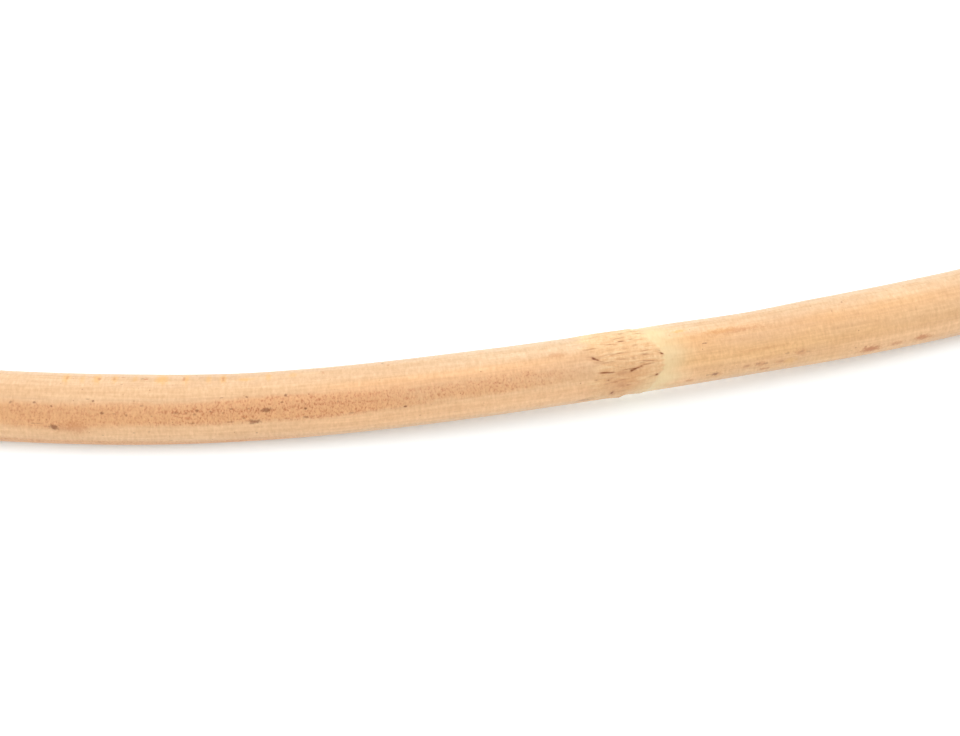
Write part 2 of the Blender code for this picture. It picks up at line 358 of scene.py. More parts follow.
# The skin's noises, as (features to a millimetre along, across and up), detail and roughness
SKIN_NOISES = {
    "grain": ((0.13, 2.4, 2.4), 3.0, 0.6),
    "bands": ((0.03, 1.1, 1.1), 2.0, 0.5),
    "hatch": ((2.4, 0.8, 0.8), 3.0, 0.6),
    "cloud": ((0.05, 0.16, 0.16), 2.0, 0.5),
    "grit": ((2.2, 2.2, 2.2), 4.0, 0.65),
    "rust": ((3.2, 2.2, 2.2), 2.0, 0.5),
    "blots": ((0.45, 0.9, 0.9), 3.0, 0.6),
    "threads": ((0.5, 4.0, 4.0), 3.0, 0.6),
}

# How far each noise darkens and lightens the clean skin, the dirt on it, the cream and the band
CLEAN_SWINGS = (("cloud", 0.1), ("bands", 0.13), ("grain", 0.2))
DIRT_SWINGS = (("hatch", 0.23), ("grit", 0.14))
CREAM_SWINGS = (("hatch", 0.1),)
TORN_SWINGS = (("grit", 0.25), ("hatch", 0.2))

# From which noise to which a colour sets in
OCHRE_CLOUD = (0.2, 0.6)
PALE_BLOTS = (0.1, 0.7)
CREAM_BLOTS = (-0.1, 0.5)
STREAK_PATCHES = (0.0, 0.9)
RUST_FRECKLES = (0.42, 0.74)
DARK_FRECKLES = (0.62, 0.76)
TORN_THREADS = (0.3, 0.7)
STUB_THREADS = (0.2, 0.6)
FURROW_GRIT = (0.12, 0.42)
FURROW_DEPTHS = (0.35, 0.8)

# How strongly each shows
STREAK_UNEVEN = 0.45
LINE_CROWDING = 0.09
LINE_DOTS = 0.42
DOT_SHARES = (0.06, 0.1)
DOTS_PER_MM = 1.6
DOT_RADIUS = 0.2
DOT_CORE = 0.35
DOT_DARKNESS = 0.6
DOT_PITS = 0.8
RUST_SHARE = 0.8
DARK_SHARE = 0.5
PALE_CREAM = 0.8
PALE_TORN = 0.9
STUB_SHARE = 0.54
THREAD_SHARE = 0.6
DEEP_SHARE = 0.9

# Gloss and bump
SKIN_ROUGHNESS = (0.4, 0.56)
BAND_ROUGHER = 0.18
STREAK_ROUGHER = 0.08
SHEEN = 0.12
SHEEN_ROUGHNESS = 0.4
HATCH_BUMP = 0.5
THREAD_BUMP = 2.0
SKIN_BUMP = 0.000016
CUT_ROUGHNESS = 0.85
CUT_BUMP = 0.00006
FIBRE_ROUGHNESS = 0.7

# The sawn ends: where the rim begins and ends in mm from the middle, and (dots to a mm, radius, share)
RIM = (4.3, 5.6)
PORES = (1.35, 0.26, 0.8)
FINE_PORES = (2.6, 0.15)
FINE_SHARE = 0.9
PORE_DARKNESS = 0.85
PORE_PITS = 2.0
SAW_BUMP = 0.5
MOTTLE_SWING = 0.12
SAW_SWING = 0.07
CUT_MOTTLE = ((0.8, 0.8, 0.8), 3.0, 0.6)
SAW_MARKS = ((0.12, 5.0, 1.0), 2.0, 0.5)
FIBRE_MOTTLE = ((0.5, 1.5, 1.5), 2.0, 0.5)

UNBENT = "unbent"
UV_NAME = "OFBake"
NODE_MASKS = ("band", "cream", "furrow", "thread", "stub", "ochre")

# The camera: it looks down on the part of the stem round the middle node
CAMERA_TARGET = Vector((-0.00091, -0.03420, 0.00602))
CAMERA_AZIMUTH = np.radians(-7.89)
CAMERA_ELEVATION = np.radians(50.0)
CAMERA_DISTANCE = 0.3876
CAMERA_LENS = 85.0
CAMERA_NEAREST = 0.01

# Floor and light
FLOOR_SIZE = 40.0
WHITE = (1.0, 1.0, 1.0, 1.0)
FLOOR_WHITE = (0.86, 0.94, 0.99)
FLOOR_GLOW = 0.17
SURROUND = 0.22
LAMP_LENGTH = 5.0
LAMP_DISTANCE = 1.5
# Lamps, as (tilt away from the camera, width, share of full white)
BACK_LAMP = (np.radians(46.0), 0.30, 0.46)
FRONT_LAMP = (np.radians(-25.0), 1.60, 0.79)


def smooth(share):
    """0 below 0, 1 above 1, and a smooth step between."""
    share = np.clip(share, 0.0, 1.0)
    return share * share * (3.0 - 2.0 * share)


def between(place, stations):
    """The value at a place, from (place, value) stations joined by smooth steps."""
    at, value = np.array(stations).T
    span = np.clip(np.searchsorted(at, place) - 1, 0, len(at) - 2)
    share = (place - at[span]) / (at[span + 1] - at[span])
    return value[span] + (value[span + 1] - value[span]) * smooth(share)


def around(angle, towards):
    """Signed angle from a side of the stem, from -pi to pi."""
    return (angle - towards + np.pi) % (2 * np.pi) - np.pi


def centreline():
    """(places, x, y, heading) of the stem's middle line from above, its two ends on one line along X."""
    places = np.linspace(0.0, LENGTH, round(LENGTH / BOW_STEP) + 1)
    curvature = np.interp(places, *np.array(BOW).T)

    def run(rate):
        mean = (rate[1:] + rate[:-1]) / 2
        return np.concatenate([[0.0], np.cumsum(mean * np.diff(places))])

    heading = run(curvature)
    x, y = run(np.cos(heading)), run(np.sin(heading))
    heading = heading - np.arctan2(y[-1], x[-1])
    return places, run(np.cos(heading)), run(np.sin(heading)), heading


def mound(along, across):
    """A rounded rise, 1 at its middle: the distances from there are told in its own widths."""
    return np.exp(-(along**2) - across**2)


def across_from(angle, radius, side, width):
    """Distance round the skin from a side in degrees, in these widths."""
    return around(angle, np.radians(side)) * radius / width


def swing(at, height, rate, phase=0.0):
    """A wave along the stem."""
    return height * np.sin(at * rate + phase)


def torn_fibres(place, angle, radius, edge, seed):
    """Height of the tufts and hollows on one scar's band, laid out by a seeded draw."""
    draw = np.random.default_rng(seed)
    height = np.zeros_like(place)
    for _ in range(TUFTS):
        middle = edge - SCAR_BAND * draw.uniform(0.06, 0.98)
        side = draw.uniform(-np.pi, np.pi)
        tall = TUFT_HEIGHT * draw.uniform(-0.9, 1.0)
        length = TUFT_LENGTH * draw.uniform(0.7, 1.5)
        height += tall * mound((place - middle) / length, around(angle, side) * radius / TUFT_WIDTH)
    return height


def wobble(angle, waves, number=0):
    """A closed uneven line round the stem, about -1 to 1, the same each time for a node's number."""
    seed, lowest, highest = waves
    draw = np.random.default_rng(seed + number)
    total = np.zeros_like(angle)
    for count in range(lowest, highest + 1):
        total += draw.uniform(0.4, 1.0) * np.sin(count * angle + draw.uniform(0, 2 * np.pi))
    return total / np.sqrt(highest - lowest + 1)


def stroke_list(number):
    """The torn strokes of one node's band, in metres: those seen, if any, and a seeded draw."""
    draw = np.random.default_rng(STROKE_SEED + number)
    rows = list(SEEN_STROKES) if number == SEEN_NODE else []
    for _ in range(STROKES_PER_BAND):
        below = draw.uniform(DRAWN_BELOW_EDGE, SCAR_BAND * 1000)
        side = draw.uniform(0, 360)
        length = draw.uniform(*DRAWN_LENGTHS)
        width = draw.uniform(*DRAWN_WIDTHS)
        slant = draw.normal(0, DRAWN_SLANT)
        tall = draw.uniform(*DRAWN_HEIGHTS)
        darkness = draw.uniform(0.0, 1.0) ** 3 * DRAWN_DARKNESS
        rows.append((below, side, length, width, slant, tall, darkness))
    return np.array(rows) * np.array([0.001, np.radians(1.0), 0.001, 0.001, 1.0, 0.001, 1.0])


def strokes(above, angle, radius, number):
    """(height, darkness, paleness) of the torn strokes of one node's band."""
    height, dark, pale = (np.zeros_like(above) for _ in range(3))
    near = np.flatnonzero((above > -SCAR_BAND - STROKE_MARGIN) & (above < STROKE_MARGIN))
    a, t, r = above[near], angle[near], radius[near]
    for below, side, length, width, slant, tall, darkness in stroke_list(number):
        along = a + below
        across = around(t, side) * r - slant * along
        shape = np.exp(-((2 * across / width) ** 2)) * np.clip(1 - (2 * along / length) ** 4, 0, 1)
        height[near] += tall * shape
        dark[near] = np.maximum(dark[near], darkness * shape * (tall < 0))
        pale[near] = np.maximum(pale[near], np.clip(tall / PALE_FROM_HEIGHT, 0, 1) * shape)
    return height, dark, pale


def node_forms(above, place, angle, radius, number):
    """(height, stub): one node's band, lip, waist, knuckle, stub and hollow, and where the stub is."""
    edge, towards = NODES[number]
    band = smooth((above + SCAR_BAND) / BAND_FADE) * smooth(-above / STEP_WIDTH)
    lip = smooth((above + LIP_WIDTH) / LIP_WIDTH) * smooth(0.5 - above / STEP_WIDTH)
    waist = smooth(above / STEP_WIDTH) * smooth((WAIST_LENGTH - above) / WAIST_RECOVERY + 1.0)
    height = BAND_PROUD * band + LIP_HEIGHT * lip - WAIST_DEPTH * waist
    height += band * torn_fibres(place, angle, radius, edge, TUFT_SEED + number)
    along = (above + KNUCKLE_BELOW_EDGE) / KNUCKLE_LENGTH
    across = across_from(angle, radius, towards + KNUCKLE_FROM_LEAN, KNUCKLE_WIDTH)
    height += KNUCKLE_HEIGHT * mound(along, across)
    side = towards + STUB_FROM_LEAN
    stub = smooth((above + STUB_END) / STUB_LENGTH + 1.0) * smooth(-(above + STUB_END) / STUB_STEP)
    stub = stub * mound(0.0, across_from(angle, radius, side, STUB_WIDTH))
    hollow = smooth((above + STUB_END) / STUB_STEP) * smooth(-above / STEP_WIDTH)
    hollow = hollow * mound(0.0, across_from(angle, radius, side, HOLLOW_WIDTH))
    return height + STUB_HEIGHT * stub - HOLLOW_DEPTH * hollow, stub


def node_colours(above, angle, radius, number, stub):
    """Masks of one node: its torn band, the cream above it, the foot's brown, and the ochre beyond."""
    towards = NODES[number][1]
    band_start = SCAR_BAND + BAND_RAG * wobble(angle, BAND_WAVES, number)
    cream_end = CREAM_WIDTH + CREAM_RAG * wobble(angle, CREAM_WAVES, number)
    ragged = above + COLOUR_RAG * wobble(angle, COLOUR_WAVES, number)
    from_stub = np.degrees(around(angle, np.radians(towards + STUB_FROM_LEAN)))
    fringe = FRINGE_SHARE * smooth(0.5 + (from_stub - FRINGE_SIDES[0]) / FRINGE_SIDE_FADES[0])
    fringe = fringe * smooth((FRINGE_SIDES[1] - from_stub) / FRINGE_SIDE_FADES[1])
    fringe = fringe * smooth((ragged + FRINGE_REACH) / FRINGE_FADE)
    band = smooth((above + band_start) / BAND_COLOUR_FADE) * smooth(0.5 - ragged / EDGE_COLOUR_FADE)
    cream = smooth((ragged + FRINGE_REACH + CREAM_BELOW_FRINGE) / CREAM_START_FADE)
    across = across_from(angle, radius, towards + FOOT_FROM_LEAN, FOOT_WIDTH)
    foot = mound((above + FOOT_BELOW_EDGE) / FOOT_LENGTH, across)
    flank = np.degrees(np.abs(around(angle, np.radians(towards + OCHRE_FROM_LEAN))))
    ochre = OCHRE_LEAST + (1 - OCHRE_LEAST) * smooth((OCHRE_HALF_WIDTH - flank) / OCHRE_SIDE_FADE)
    return {
        "band": band * (1.0 - fringe),
        "cream": cream * smooth((cream_end - above) / CREAM_FADE),
        "stub": np.maximum(stub, foot),
        "ochre": ochre * smooth(above / OCHRE_START_FADE) * smooth((OCHRE_LENGTH - above) / OCHRE_FADE),
    }


def node_relief(place, angle, radius):
    """Height of the nodes' forms above the plain stem, and the masks that their colours follow."""
    height = np.zeros_like(place)
    masks = {name: np.zeros_like(place) for name in NODE_MASKS}
    for number, (edge, _) in enumerate(NODES):
        above = place - edge - EDGE_RAG * wobble(angle, EDGE_WAVES, number)
        forms, stub = node_forms(above, place, angle, radius, number)
        torn, dark, pale = strokes(above, angle, radius, number)
        height += forms + torn
        for name, mask in node_colours(above, angle, radius, number, stub).items():
            masks[name] += mask
        masks["furrow"] = np.maximum(masks["furrow"], dark)
        masks["thread"] = np.maximum(masks["thread"], pale)
    return height, masks


def lean(place, angle):
    """How far a ring runs up the stem at an angle: the rings near a node follow its slanting scar."""
    shift = np.zeros_like(place)
    for edge, towards in NODES:
        near = smooth(1.0 - np.abs(place - edge) / LEAN_REACH)
        turned = around(angle, np.radians(towards))
        shift += near * (SCAR_LEAN * np.cos(turned) + SCAR_TONGUE * mound(0.0, turned / TONGUE_WIDTH))
    return shift


def ribs(at, angle):
    """Height of the fine lengthwise ribs of the skin."""
    share = 0.5 + swing(at, 0.5, RIB_CHANGE)
    return RIB_HEIGHT * (wobble(angle, RIB_WAVES) * share + wobble(angle, RIB_WAVES, 1) * (1 - share))


def streak_mask(at, angle):
    """Where the dirty streaks, and the painted shade along the underside, lie on the skin, 0 to 1."""
    mask = np.zeros_like(at)
    for first, last, side_first, side_last, half_width, strength in STREAKS:
        share = np.clip((at - first) / (last - first), 0, 1)
        side = np.radians(side_first + (side_last - side_first) * share)
        sway = swing(at, *STREAK_SWAY, side_first) + swing(at, *STREAK_FINE_SWAY)
        off = np.abs(np.degrees(around(angle, side)) + sway) + swing(at, *STREAK_SWELL)
        ends = smooth((at - first) / STREAK_START_FADE) * smooth((last - at) / STREAK_END_FADE)
        inside = smooth(0.5 + (half_width - off) / (2 * STREAK_SOFTNESS))
        mask = np.maximum(mask, strength * ends * inside)
    return mask


def freckle_lines(at, angle):
    """Where freckles crowd into lines along the stem, 0 to 1."""
    mask = np.zeros_like(at)
    for first, last, side, half_width, strength in FRECKLE_LINES:
        off = np.degrees(around(angle, np.radians(side)))
        off = off + swing(at, *LINE_SWAY) + swing(at, *LINE_FINE_SWAY)
        ends = smooth((at - first) / LINE_FADE) * smooth((last - at) / LINE_FADE)
        mask = np.maximum(mask, strength * ends * mound(0.0, off / half_width))
    return mask


def strip(at, angle, side, half_width, along):
    """Where a strip along the stem lies, 0 to 1."""
    off = np.degrees(np.abs(around(angle, np.radians(side))))
    return between(at, along) * smooth(STRIP_EDGE - off / half_width)


def skin(place, angle, depth=0.0):
    """Points of the skin, the same points of a straight stem, and the masks there."""
    radius = between(place, GIRTH) / 2
    turn = 2 * np.pi * OVAL_TURNS_PER_METRE * place
    oval = OVAL_SHARE * np.cos(2 * angle - turn)
    at = np.clip(place + lean(place, angle), 0.0, LENGTH)
    relief, masks = node_relief(place, angle, radius)
    reach = radius * (1.0 + oval) + relief + ribs(at, angle) - depth
    places, x, y, heading = centreline()
    turned = np.interp(at, places, heading)
    out, up = reach * np.cos(angle), reach * np.sin(angle)
    level = np.maximum(between(at, LIFT) + radius - WORN_FLAT + up, 0.0)
    east = np.interp(at, places, x) - np.sin(turned) * out
    north = np.interp(at, places, y) + np.cos(turned) * out
    masks["streak"] = streak_mask(at, angle)
    masks["lines"] = freckle_lines(at, angle)
    masks["freckled"] = between(at, FRECKLED)
    # Partly paler skin, partly a painted highlight along the top
    masks["pale"] = strip(at, angle, *PALE_AND_LIT_STRIP)
    # Painted light on the lower-facing side and a band above the middle
    masks["warm_lit"] = sum(strip(at, angle, *row) for row in WARM_LIT_STRIPS)
    return np.stack([east, north, level], axis=-1), np.stack([at, out, up], axis=-1), masks


def skin_rings():
    """Places of the skin's rings: close together at each node, and evenly spread between."""
    rounding = [CUT_ROUNDING * share for share in ROUNDING_RINGS]
    rings = rounding + [LENGTH - depth for depth in rounding]
    count = round((BAND_RINGS_TO - BAND_RINGS_FROM) / BAND_RING_SPACING)
    for edge, _ in NODES:
        rings += list(edge + np.linspace(BAND_RINGS_FROM, BAND_RINGS_TO, count + 1))
        rings += [edge + height for height in RINGS_ABOVE_EDGE]
    rings.sort()
    for low, high in zip(rings[:-1], rings[1:]):
        steps = round((high - low) / RING_SPACING)
        rings += [low + (high - low) * step / steps for step in range(1, steps)]
    return np.array(sorted(rings))


def frame_shift(points):
    """What moves the stem's own frame to the part's frame, whose origin is under its box's middle."""
    low, high = points.min(axis=0), points.max(axis=0)
    return np.array([(low[0] + high[0]) / 2, (low[1] + high[1]) / 2, 0.0])


def linear(colour):
    """An 8-bit sRGB colour as linear RGBA."""
    share = np.array(colour) / 255.0
    low = share / 12.92
    high = ((share + 0.055) / 1.055) ** 2.4
    return (*np.where(share <= 0.04045, low, high), 1.0)


def store(mesh, name, kind, field, values):
    """Stores values at a mesh's points under a name."""
    layer = mesh.attributes.new(name, kind, "POINT")
    layer.data.foreach_set(field, values.astype(np.float32).ravel())


def skin_mesh():
    """The cane as one closed mesh, with its masks as attributes, and the shift to the part's frame."""
    rings = skin_rings()
    place, angle = (grid.ravel() for grid in np.meshgrid(rings, TURNS, indexing="ij"))
    rounding = np.clip(1 - np.minimum(place, LENGTH - place) / CUT_ROUNDING, 0, 1)
    points, unbent, masks = skin(place, angle, CUT_ROUNDING * rounding**2)
    shift = frame_shift(points)
    faces = grid_faces(len(rings), 0, SIDES)
    uvs = skin_uvs(rings)
    slots = [0] * len(faces)
    for end in (0, 1):
        cut, straight, cut_faces, cut_uvs = cap(end, points, unbent, end * (len(rings) - 1) * SIDES)
        points = np.concatenate([points, cut])
        unbent = np.concatenate([unbent, straight])
        faces += cut_faces
        uvs += cut_uvs
        slots += [1] * len(cut_faces)
    mesh = bpy.data.meshes.new("cane_skin")
    mesh.from_pydata((points - shift).tolist(), [], faces)
    mesh.polygons.foreach_set("material_index", slots)
    layer = mesh.uv_layers.new(name=UV_NAME)
    layer.data.foreach_set("uv", np.array(uvs, dtype=np.float32).ravel())
    store(mesh, UNBENT, "FLOAT_VECTOR", "vector", unbent * 1000)
    for name, mask in masks.items():
        whole = np.concatenate([mask, np.zeros(len(points) - len(mask))])
        store(mesh, name, "FLOAT", "value", np.clip(whole, 0, 1))
    mesh.shade_smooth()
    mesh.set_sharp_from_angle(angle=np.radians(50.0))
    return mesh, shift


def grid_faces(rings, first, sides):
    """Quads between rings of so many points each, facing out."""
    faces = []
    for ring in range(rings - 1):
        base = first + ring * sides
        for side in range(sides):
            after = (side + 1) % sides
            faces.append((base + side, base + after, base + sides + after, base + sides + side))
    return faces


def skin_uvs(rings):
    """Map places of the skin's quads: four strips along the stem, one above the other."""
    uvs = []
    per_strip = LENGTH / UV_STRIPS
    for low, high in zip(rings[:-1], rings[1:]):
        row = min(int((low + high) / 2 / per_strip), UV_STRIPS - 1)
        shares = [(place - row * per_strip) / per_strip for place in (low, high)]
        left, right = (UV_EDGE + share * UV_STRIP_WIDTH for share in shares)
        for side in range(SIDES):
            bottom = UV_EDGE + row * UV_STRIP_PITCH + side / SIDES * UV_STRIP_HEIGHT
            top = bottom + UV_STRIP_HEIGHT / SIDES
            uvs += [(left, bottom), (left, top), (right, top), (right, bottom)]
    return uvs


def outward(end):
    """The level way out of the stem at an end: 0 the thick one, 1 the thin one."""
    heading = centreline()[3][-end]
    return np.array([np.cos(heading), np.sin(heading), 0.0]) * (1 if end else -1)


def cap(end, points, unbent, rim):
    """A saw cut: rings from the rim's points to the middle, with the saw's slight unevenness."""
    draw = np.random.default_rng(SAW_SEED + end)
    outer, outer_unbent = points[rim : rim + SIDES], unbent[rim : rim + SIDES]
    middle, middle_unbent = outer.mean(axis=0), outer_unbent.mean(axis=0)
    away = outward(end)
    made, made_unbent, reach, waves = [], [], [1.0], []
    for _ in range(SAW_WAVES):
        waves.append((draw.uniform(*SAW_RATES), draw.uniform(0, SAW_TURN), draw.uniform(0, SAW_TURN)))
    for ring in range(1, CAP_RINGS):
        share = 1 - ring / CAP_RINGS
        reach.append(share)
        flat = middle + (outer - middle) * share
        straight = middle_unbent + (outer_unbent - middle_unbent) * share
        y, z = straight[:, 1] * 1000, straight[:, 2] * 1000
        uneven = sum(np.sin(k * (y * np.cos(a) + z * np.sin(a)) + b) for k, a, b in waves)
        bulge = CUT_UNEVEN * uneven * smooth(1 - share) + CUT_CROWN * (1 - share**2)
        made.append(flat + away * bulge[:, None])
        made_unbent.append(straight)
    made.append([middle + away * CUT_CROWN])
    made_unbent.append([middle_unbent])
    reach.append(0.0)
    centre = np.array([UV_CAP_LEFT + UV_CAP_PITCH * end, UV_CAP_HEIGHT])

    def on_map(ring, side):
        turn = TURNS[side % SIDES]
        return tuple(centre + UV_CAP_RADIUS * reach[ring] * np.array([np.cos(turn), np.sin(turn)]))

    def index(ring, side):
        if ring == 0:
            return rim + side % SIDES
        return len(points) + (ring - 1) * SIDES + (side % SIDES if ring < CAP_RINGS else 0)

    faces, uvs = [], []
    for ring in range(CAP_RINGS):
        for side in range(SIDES):
            corners = [(ring, side), (ring + 1, side), (ring + 1, side + 1), (ring, side + 1)]
            if ring == CAP_RINGS - 1:
                corners = corners[:2] + corners[3:]
            if end:
                corners.reverse()
            faces.append(tuple(index(*corner) for corner in corners))
            uvs += [on_map(*corner) for corner in corners]
    return np.concatenate(made), np.concatenate(made_unbent), faces, uvs


def tube_faces(stations, first):
    """Faces of a four-sided tapered tube with closed ends."""
    last = first + (stations - 1) * 4
    root = tuple(first + k for k in (3, 2, 1, 0))
    return [root, *grid_faces(stations, first, 4), tuple(last + k for k in range(4))]


def band_fibres(shift):
    """Fine torn fibres that lift off the scars' bands, their roots sunk in the skin."""
    draw = np.random.default_rng(FIBRE_SEED)
    place, angle, depth, faces = [], [], [], []
    for edge, _ in NODES:
        for _ in range(BAND_FIBRES):
            start = edge - draw.uniform(FIBRE_BELOW_EDGE, SCAR_BAND)
            side = draw.uniform(-np.pi, np.pi)
            length = draw.uniform(*FIBRE_LENGTHS)
            thick = draw.uniform(*FIBRE_THICKNESSES)
            tip_lift = draw.uniform(*FIBRE_LIFTS)
            if draw.random() < LOOSE_SHARE:
                tip_lift = draw.uniform(*LOOSE_LIFTS)
            drift = draw.normal(0, FIBRE_DRIFT)
            faces += tube_faces(FIBRE_STATIONS, len(place) * 4)
            for share in np.linspace(0, 1, FIBRE_STATIONS):
                wide = thick * (1 - FIBRE_TAPER * share)
                lift = tip_lift * share**2 - FIBRE_SUNK * thick
                turn = wide / BAND_RADIUS
                place.append(np.full(4, start + length * share))
                angle.append(side + drift * share + np.array([turn, 0, -turn, 0]))
                depth.append(-lift - np.array([0, wide, 0, -wide]))
    points, unbent, _ = skin(np.concatenate(place), np.concatenate(angle), np.concatenate(depth))
    return fibre_mesh("scar_fibres", points - shift, unbent, faces)


def cut_fibres(shift):
    """Fine fibre ends that the saw left standing at both cuts."""
    draw = np.random.default_rng(CUT_FIBRE_SEED)
    _, x, y, headings = centreline()
    points, unbent, faces = [], [], []
    for end in (0, 1):
        side_way = np.array([-np.sin(headings[-end]), np.cos(headings[-end]), 0.0])
        away = outward(end)
        radius = GIRTH[-end][1] / 2 - CUT_ROUNDING
        middle = np.array([x[-end], y[-end], LIFT[-end][1] + GIRTH[-end][1] / 2 - WORN_FLAT])
        for _ in range(CUT_FIBRES):
            turn, share = draw.uniform(0, 2 * np.pi), np.sqrt(draw.uniform(*CUT_FIBRE_SPREAD))
            length = draw.uniform(*CUT_FIBRE_LENGTHS)
            thick = draw.uniform(*FIBRE_THICKNESSES)
            lean_out = draw.normal(0, CUT_FIBRE_LEAN, 2)
            way_out = side_way * np.cos(turn) + np.array([0, 0, np.sin(turn)])
            way_round = -side_way * np.sin(turn) + np.array([0, 0, np.cos(turn)])
            faces += tube_faces(FIBRE_STATIONS, len(points) * 4)
            for step in np.linspace(0, 1, FIBRE_STATIONS):
                wide = thick * (1 - CUT_FIBRE_TAPER * step)
                bend = length * step**2 * (lean_out[0] * way_out + lean_out[1] * way_round)
                at = middle + way_out * radius * share + away * (length * step - CUT_FIBRE_ROOT) + bend
                corners = [way_out, way_round, -way_out, -way_round]
                if end:
                    corners = [way_out, -way_round, -way_out, way_round]
                points.append(at + wide * np.array(corners))
                unbent.append(np.tile([end * LENGTH, at[0], at[2]], (4, 1)))
    return fibre_mesh("cut_fibres", np.concatenate(points) - shift, np.concatenate(unbent), faces)


def fibre_mesh(name, points, unbent, faces):
    """A mesh of small closed fibres, kept above the surface that the cane lies on."""
    points[:, 2] = np.maximum(points[:, 2], FIBRE_CLEARANCE)
    mesh = bpy.data.meshes.new(name)
    mesh.from_pydata(points.tolist(), [], faces)
    store(mesh, UNBENT, "FLOAT_VECTOR", "vector", unbent * 1000)
    mesh.shade_smooth()
    return mesh


class Nodes:
    """Short calls that add nodes to a material's tree or a group's."""

    def __init__(self, tree):
        self.tree = tree

    def give(self, node, inputs):
        """Sets or links a node's inputs, told by name or number."""
        for name, value in inputs.items():
            if isinstance(value, bpy.types.NodeSocket):
                self.tree.links.new(value, node.inputs[name])
            else:
                node.inputs[name].default_value = value

    def put(self, kind, inputs=None, **settings):
        """Adds a node with its settings and inputs."""
        node = self.tree.nodes.new("ShaderNode" + kind)
        for name, value in settings.items():
            setattr(node, name, value)
        self.give(node, inputs or {})
        return node

    def math(self, operation, *values):
        return self.put("Math", dict(enumerate(values)), operation=operation).outputs[0]

    def plus(self, first, second):
        return self.math("ADD", first, second)

    def minus(self, first, second):
        return self.math("SUBTRACT", first, second)

    def times(self, first, second):
        return self.math("MULTIPLY", first, second)

    def level(self, value, low, high):
        """0 where the value is at low, 1 where it is at high, and a smooth step between."""
        inputs = {"Value": value, "From Min": low, "From Max": high}
        return self.put("MapRange", inputs, interpolation_type="SMOOTHSTEP").outputs["Result"]

    def spread(self, value, least, most):
        """A value from 0 to 1 spread to run from least to most."""
        return self.put("MapRange", {"Value": value, "To Min": least, "To Max": most}).outputs["Result"]

    def mix(self, share, first, second):
        """A colour between two, given as sockets or as 8-bit sRGB."""
        values = {"Factor": share}
        for number, colour in ((6, first), (7, second)):
            values[number] = colour if isinstance(colour, bpy.types.NodeSocket) else linear(colour)
        return self.put("Mix", values, data_type="RGBA").outputs[2]

    def shade(self, colour, value, swing_share):
        """The colour made darker and warmer, or lighter and cooler, by up to this share either way."""
        gain = [2.0 * swing_share * share for share in WARMTH]
        least = [1.0 - swing_share * share for share in WARMTH]
        factor = self.put("VectorMath", {0: value, 1: gain, 2: least}, operation="MULTIPLY_ADD")
        return self.stretch(colour, factor.outputs["Vector"])

    def attribute(self, name, output="Fac"):
        return self.put("Attribute", attribute_name=name).outputs[output]

    def stretch(self, vector, amounts):
        return self.put("VectorMath", {0: vector, 1: amounts}, operation="MULTIPLY").outputs["Vector"]

    def noise(self, where, stretch, detail, roughness):
        """A noise from 0 to 1, with about so many features to a millimetre along, across and up."""
        inputs = {"Vector": self.stretch(where, stretch), "Scale": 1.0}
        inputs |= {"Detail": detail, "Roughness": roughness}
        return self.put("TexNoise", inputs).outputs[0]

    def dots(self, where, per_mm, radius, share, space="3D"):
        """Round dots scattered at random: a share of the cells holds one, of up to this radius."""
        inputs = {"Vector": self.stretch(where, (per_mm,) * 3), "Scale": 1.0}
        cells = self.put("TexVoronoi", inputs, voronoi_dimensions=space)
        pick = self.put("SeparateColor", {0: cells.outputs["Color"]})
        size = self.times(pick.outputs[1], radius * per_mm)
        inside = self.level(cells.outputs["Distance"], size, self.times(size, DOT_CORE))
        return self.times(inside, self.math("LESS_THAN", pick.outputs[0], share))


def stain_group():
    """A group that gives the mask of one ragged oval stain."""
    tree = bpy.data.node_groups.new("stain", "ShaderNodeTree")
    for name in STAIN_INPUTS:
        tree.interface.new_socket(name, in_out="INPUT", socket_type="NodeSocketFloat")
    tree.interface.new_socket("Mask", in_out="OUTPUT", socket_type="NodeSocketFloat")
    nodes = Nodes(tree)
    given = dict(zip(STAIN_INPUTS, tree.nodes.new("NodeGroupInput").outputs))
    along = nodes.math("DIVIDE", nodes.minus(given["Along"], given["Place"]), given["Length"])
    turn = nodes.math("WRAP", nodes.minus(given["Round"], given["Side"]), 180.0, -180.0)
    across = nodes.math("DIVIDE", nodes.times(turn, np.radians(1.0) * STEM_RADIUS_MM), given["Width"])
    square = nodes.plus(nodes.times(along, along), nodes.times(across, across))
    off = nodes.plus(nodes.times(nodes.math("SQRT", square), 2.0), given["Rag"])
    mask = nodes.times(nodes.level(off, *STAIN_EDGE), given["Strength"])
    nodes.give(tree.nodes.new("NodeGroupOutput"), {0: mask})
    return tree


def stains(nodes, group, spot, marks):
    """The mask of all the marks in a list, at a spot told by its place, side and raggedness."""
    total = 0.0
    for mark in marks:
        node = nodes.put("Group", node_tree=group)
        nodes.give(node, dict(zip(STAIN_INPUTS, (*spot, *mark))))
        total = nodes.math("MAXIMUM", total, node.outputs["Mask"])
    return total


def new_material(name):
    """A material and its tree's short calls and shader."""
    material = bpy.data.materials.new(name)
    material.use_nodes = True
    return material, Nodes(material.node_tree), material.node_tree.nodes["Principled BSDF"]


def bump(nodes, shader, height, depth):
    """Relief finer than the mesh: the height from 0 to 1 stands for this depth in metres."""
    node = nodes.put("Bump", {"Height": height, "Distance": depth})
    nodes.give(shader, {"Normal": node.outputs["Normal"]})


def shaded(nodes, colour, noises, swings):
    """The colour, darkened and lightened by each of these noises in turn."""
    for name, swing_share in swings:
        colour = nodes.shade(colour, noises[name], swing_share)
    return colour


